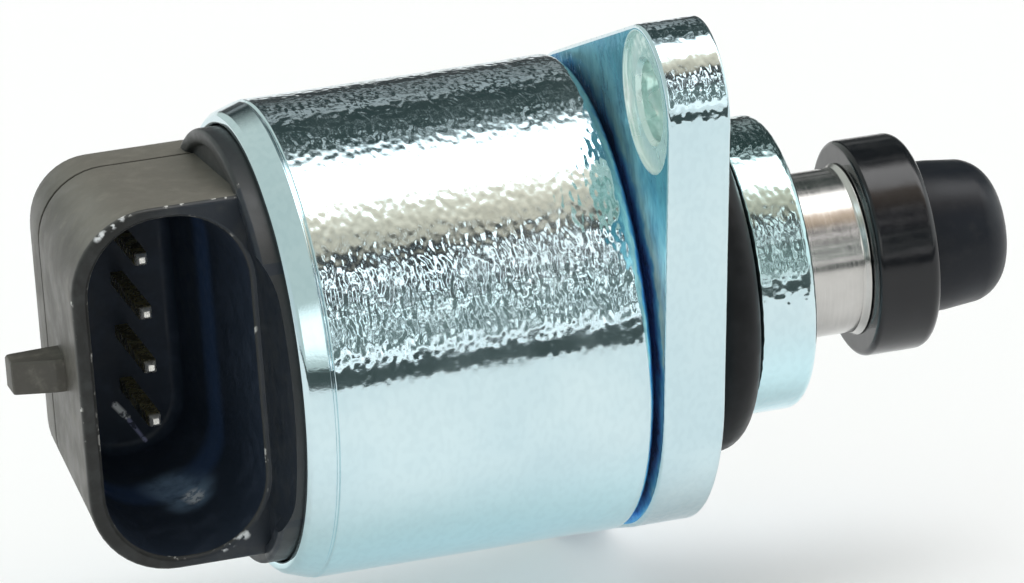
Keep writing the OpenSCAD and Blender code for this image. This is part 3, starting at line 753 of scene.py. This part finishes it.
def build_pintle():
    sleeve = soft([(0.54, 5.20, 0.1), (0.54, 5.75, 0.2), (13.70, 5.75, 0.3), (14.19, 6.12, 0.1), (14.19, 2.45), (13.2, 2.45), (13.2, 5.20, 0.4)])
    dress(solid("sleeve", *lathe(sleeve, 192)), "bright", "pintle", "bright_steel", "stem_sleeve")

    collar = soft([(14.2, 2.45), (14.2, 7.55, 0.42), (18.8, 7.55, 0.85), (18.8, 5.55, 0.15), (18.65, 5.32), (18.65, 2.45)], steps=7)
    dress(solid("collar", *lathe(collar, 192)), "collar", "pintle", "collar_plastic", "valve_collar", sharp=40)

    tip = [(18.66, 2.45), (18.66, 5.30), (20.6, 5.25)]
    tip += [(22.4 + 2.7 * math.cos(math.radians(90 - a)), 2.35 + 2.7 * math.sin(math.radians(90 - a))) for a in range(12, 82, 5)]
    tip += [(25.25, 1.9), (25.34, 1.2), (25.385, 0.5), (25.4, 0.0)]
    verts, faces = lathe([(21.85, 0.0), (21.85, 2.45)] + tip, 192, closed=False)
    dress(solid("tip", verts, faces), "tip", "pintle", "tip_plastic", "pintle_tip", sharp=40)

    # lead screw: 2 mm lead, with the two flats where it passes the guide plate
    seg, verts, faces = 64, [], []
    stations = [-23.2 + 0.1 * i for i in range(119)] + [-11.3, -8.0, 0.0, 4.0, 4.05, 8.0, 14.0, 21.8]

    def radius(x, a):
        if x > -11.45:
            if x > 4.02:
                return 2.4
            half = abs(math.sin(a))
            return min(2.4, 1.9 / half) if half > 1e-6 else 2.4
        turn = (x / 2.0 - a / (2 * math.pi)) % 1.0
        tooth = abs(turn - 0.5) * 2.0
        r = 1.95 + 0.45 * min(1.0, max(0.0, (tooth - 0.22) / 0.34))
        fade = min(1.0, (x + 23.2) / 0.7)
        r = min(r, 1.75 + 0.65 * fade)
        out = min(1.0, max(0.0, (x + 12.6) / 1.1))
        return r + (min(2.4, 1.9 / max(0.79, abs(math.sin(a)))) - r) * out

    for x in stations:
        for k in range(seg):
            a = 2 * math.pi * k / seg
            r = radius(x, a)
            verts.append((x, r * math.cos(a), r * math.sin(a)))
    for i in range(len(stations) - 1):
        for k in range(seg):
            a, b = i * seg + k, i * seg + (k + 1) % seg
            faces.append((a, b, b + seg, a + seg))
    faces.append(tuple(range(seg))[::-1])
    faces.append(tuple(range((len(stations) - 1) * seg, len(stations) * seg)))
    dress(solid("screw_thread", verts, faces), "bright", "pintle", "bright_steel", "lead_screw", sharp=38)


def build_spring():
    """Wire along a helix of even pitch, between the housing and the pintle."""
    turns, wire, r0, x0, x1 = 9, 0.30, 4.25, -4.45, 12.85
    steps, sides = turns * 44, 12
    verts, faces = [], []
    for i in range(steps + 1):
        t = i / steps
        a = 2 * math.pi * turns * t
        c = Vector((x0 + (x1 - x0) * t, r0 * math.cos(a), r0 * math.sin(a)))
        out = Vector((0, math.cos(a), math.sin(a)))
        along = Vector(((x1 - x0) / (2 * math.pi * turns), -r0 * math.sin(a), r0 * math.cos(a))).normalized()
        up = along.cross(out)
        for k in range(sides):
            b = 2 * math.pi * k / sides
            verts.append(tuple(c + out * (wire * math.cos(b)) + up * (wire * math.sin(b))))
    for i in range(steps):
        for k in range(sides):
            a, b = i * sides + k, i * sides + (k + 1) % sides
            faces.append((a, b, b + sides, a + sides))
    faces.append(tuple(range(sides))[::-1])
    faces.append(tuple(range(steps * sides, (steps + 1) * sides)))
    o = solid("spring_wire", verts, faces)
    dress(o, "race", None, "bright_steel", "return_spring", sharp=60, weighted=False)
    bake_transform(o)


build_can()
build_flange()
build_rings()
build_cap()
build_terminals()
build_pintle()
build_spring()

for node, name in {
    "cap_seal": "brown", "stator_spacer": "natural", "front_pole_cup": "pole", "front_pole_plate": "pole",
    "rear_pole_cup": "pole", "rear_pole_plate": "pole", "front_bobbin": "black", "rear_bobbin": "black",
    "front_winding": "copper", "rear_winding": "copper", "bearing_outer_race": "race", "bearing_inner_race": "race",
    "bearing_balls": "race", "bearing_cage": "brass", "guide_plate": "natural", "thrust_washer": "race",
    "rear_bush": "bronze", "rotor_magnet": "magnet", "rotor_nut": "natural",
}.items():
    o = NODES[node]
    if o.material_slots:
        for s in o.material_slots:
            s.material = M[name]
    else:
        o.data.materials.append(M[name])


# ---------------------------------------------------------------- stage

def staged(name, corners, color, glow=None, rough=0.9):
    me = bpy.data.meshes.new(name)
    me.from_pydata([tuple(c) for c in corners], [], [tuple(range(len(corners)))])
    o = bpy.data.objects.new(name, me)
    scene.collection.objects.link(o)
    m = bpy.data.materials.new(name)
    m.use_nodes = True
    b = m.node_tree.nodes["Principled BSDF"]
    b.inputs["Base Color"].default_value = (*color, 1)
    b.inputs["Roughness"].default_value = rough
    b.inputs["Specular IOR Level"].default_value = 0.1
    if glow:
        b.inputs["Emission Color"].default_value = (*glow, 1)
        b.inputs["Emission Strength"].default_value = 1.0
    me.materials.append(m)
    return o


FLOOR_Z = CAD_BOX[0][2] - 0.00004
staged("floor", [(-2, -2, FLOOR_Z), (2, -2, FLOOR_Z), (2, 2, FLOOR_Z), (-2, 2, FLOOR_Z)], (0.80, 0.80, 0.805), glow=(0.20, 0.20, 0.205))
edge = staged("dark_card", [(-0.7, -0.118, -0.0150), (0.7, -0.118, -0.0150), (0.7, -0.118, 0.0045), (-0.7, -0.118, 0.0045)], (0.085, 0.106, 0.103))
edge.visible_camera = edge.visible_diffuse = edge.visible_shadow = edge.visible_transmission = False


def studio():
    """Soft light from above with a darker room in front and behind."""
    world = bpy.data.worlds.new("studio")
    scene.world = world
    world.use_nodes = True
    t = world.node_tree
    t.nodes.clear()

    def put(kind, **values):
        node = t.nodes.new(kind)
        for key, value in values.items():
            setattr(node, key, value)
        return node

    def feed(socket, value):
        if isinstance(value, bpy.types.NodeSocket):
            t.links.new(value, socket)
        else:
            socket.default_value = value

    def calc(operation, a, b=0.0, clamp=False):
        node = put("ShaderNodeMath", operation=operation, use_clamp=clamp)
        feed(node.inputs[0], a)
        feed(node.inputs[1], b)
        return node.outputs[0]

    def ramp(value, stops):
        node = put("ShaderNodeValToRGB")
        r = node.color_ramp
        while len(r.elements) < len(stops):
            r.elements.new(0.5)
        for element, (at, v) in zip(r.elements, stops):
            element.position = at
            element.color = (v[0], v[1], v[2], 1) if isinstance(v, tuple) else (v, v, v, 1)
        feed(node.inputs["Fac"], value)
        return node.outputs["Color"]

    def mix(factor, a, b, kind="MIX"):
        node = put("ShaderNodeMix", data_type="RGBA", blend_type=kind)
        feed(node.inputs[0], factor)
        feed(node.inputs[6], a if isinstance(a, bpy.types.NodeSocket) else (*a, 1))
        feed(node.inputs[7], b if isinstance(b, bpy.types.NodeSocket) else (*b, 1))
        return node.outputs[2]

    way = put("ShaderNodeTexCoord").outputs["Generated"]
    xyz = put("ShaderNodeSeparateXYZ")
    feed(xyz.inputs[0], way)
    x, y, z = xyz.outputs
    turn = calc("ARCTAN2", z, calc("MULTIPLY", y, -1.0))          # 0 in front, a quarter turn straight up
    at = calc("MULTIPLY_ADD", turn, 0.5 / math.pi)
    t.nodes[-1].inputs[2].default_value = 0.5

    def deg(a):
        return (a / 180.0 + 1.0) / 2.0

    main = ramp(at, [
        (deg(-180), 0.08), (deg(-20), 0.02), (deg(-3), 0.05), (deg(-1.5), 0.36), (deg(4), 0.36), (deg(7), (0.045, 0.056, 0.053)),
        (deg(26), (0.042, 0.052, 0.049)), (deg(34), 0.020), (deg(50), 0.014), (deg(59), (0.17, 0.14, 0.11)), (deg(74), (0.30, 0.25, 0.20)),
        (deg(81), 0.95), (deg(102), 1.0), (deg(107), 0.40), (deg(113), (0.014, 0.020, 0.019)), (deg(165), (0.010, 0.013, 0.013)), (deg(180), 0.02)])
    blobs = put("ShaderNodeTexNoise")
    blobs.inputs["Scale"].default_value = 10.5
    blobs.inputs["Detail"].default_value = 2.0
    feed(blobs.inputs["Vector"], way)
    spots = ramp(blobs.outputs["Fac"], [(0.565, 0.0), (0.605, 0.58)])
    front = ramp(at, [(deg(2), 0.0), (deg(7), 0.75), (deg(52), 1.0), (deg(60), 0.0), (deg(108), 0.0), (deg(114), 0.32), (deg(172), 0.10)])
    main = mix(1.0, main, mix(1.0, spots, front, "MULTIPLY"), "ADD")
    side = calc("MULTIPLY_ADD", x, -9.0, clamp=True)
    t.nodes[-1].inputs[2].default_value = 0.1
    room = mix(side, main, (0.175, 0.190, 0.180))
    left = calc("MULTIPLY_ADD", x, -6.0, clamp=True)
    t.nodes[-1].inputs[2].default_value = -5.4
    room = mix(left, room, (0.21, 0.22, 0.23))
    right = calc("MULTIPLY_ADD", x, 6.0, clamp=True)
    t.nodes[-1].inputs[2].default_value = -4.5
    room = mix(right, room, (0.36, 0.38, 0.38))
    ahead = put("ShaderNodeVectorMath", operation="DOT_PRODUCT")
    feed(ahead.inputs[0], way)
    ahead.inputs[1].default_value = (-0.31, -0.90, 0.31)
    fill = ramp(ahead.outputs["Value"], [(0.965, 0.0), (0.990, 0.26)])
    room = mix(1.0, room, fill, "ADD")

    light = put("ShaderNodeBackground")
    feed(light.inputs["Color"], room)
    light.inputs["Strength"].default_value = 3.8
    seen = put("ShaderNodeBackground")
    seen.inputs["Color"].default_value = (0.94, 0.94, 0.94, 1)
    seen.inputs["Strength"].default_value = 1.0
    path = put("ShaderNodeLightPath")
    choose = put("ShaderNodeMixShader")
    feed(choose.inputs[0], path.outputs["Is Camera Ray"])
    t.links.new(light.outputs[0], choose.inputs[1])
    t.links.new(seen.outputs[0], choose.inputs[2])
    t.links.new(choose.outputs[0], put("ShaderNodeOutputWorld").inputs[0])


studio()


# ---------------------------------------------------------------- camera

def camera():
    data = bpy.data.cameras.new("camera")
    data.sensor_fit = "HORIZONTAL"
    data.sensor_width = 36.0
    data.lens = 257.9813
    data.clip_start, data.clip_end = 0.05, 20.0
    cam = bpy.data.objects.new("camera", data)
    scene.collection.objects.link(cam)
    right = Vector((0.956930, -0.282578, -0.066601))
    up = Vector((0.150697, 0.287388, 0.945885))
    ahead = Vector((0.248146, 0.915182, -0.317593))
    rows = [[right[i], up[i], -ahead[i]] for i in range(3)]
    cam.matrix_world = Matrix.Translation(Vector((-134.5832, -459.9275, 160.3163)) * MM) @ Matrix(rows).to_4x4()
    scene.camera = cam


camera()
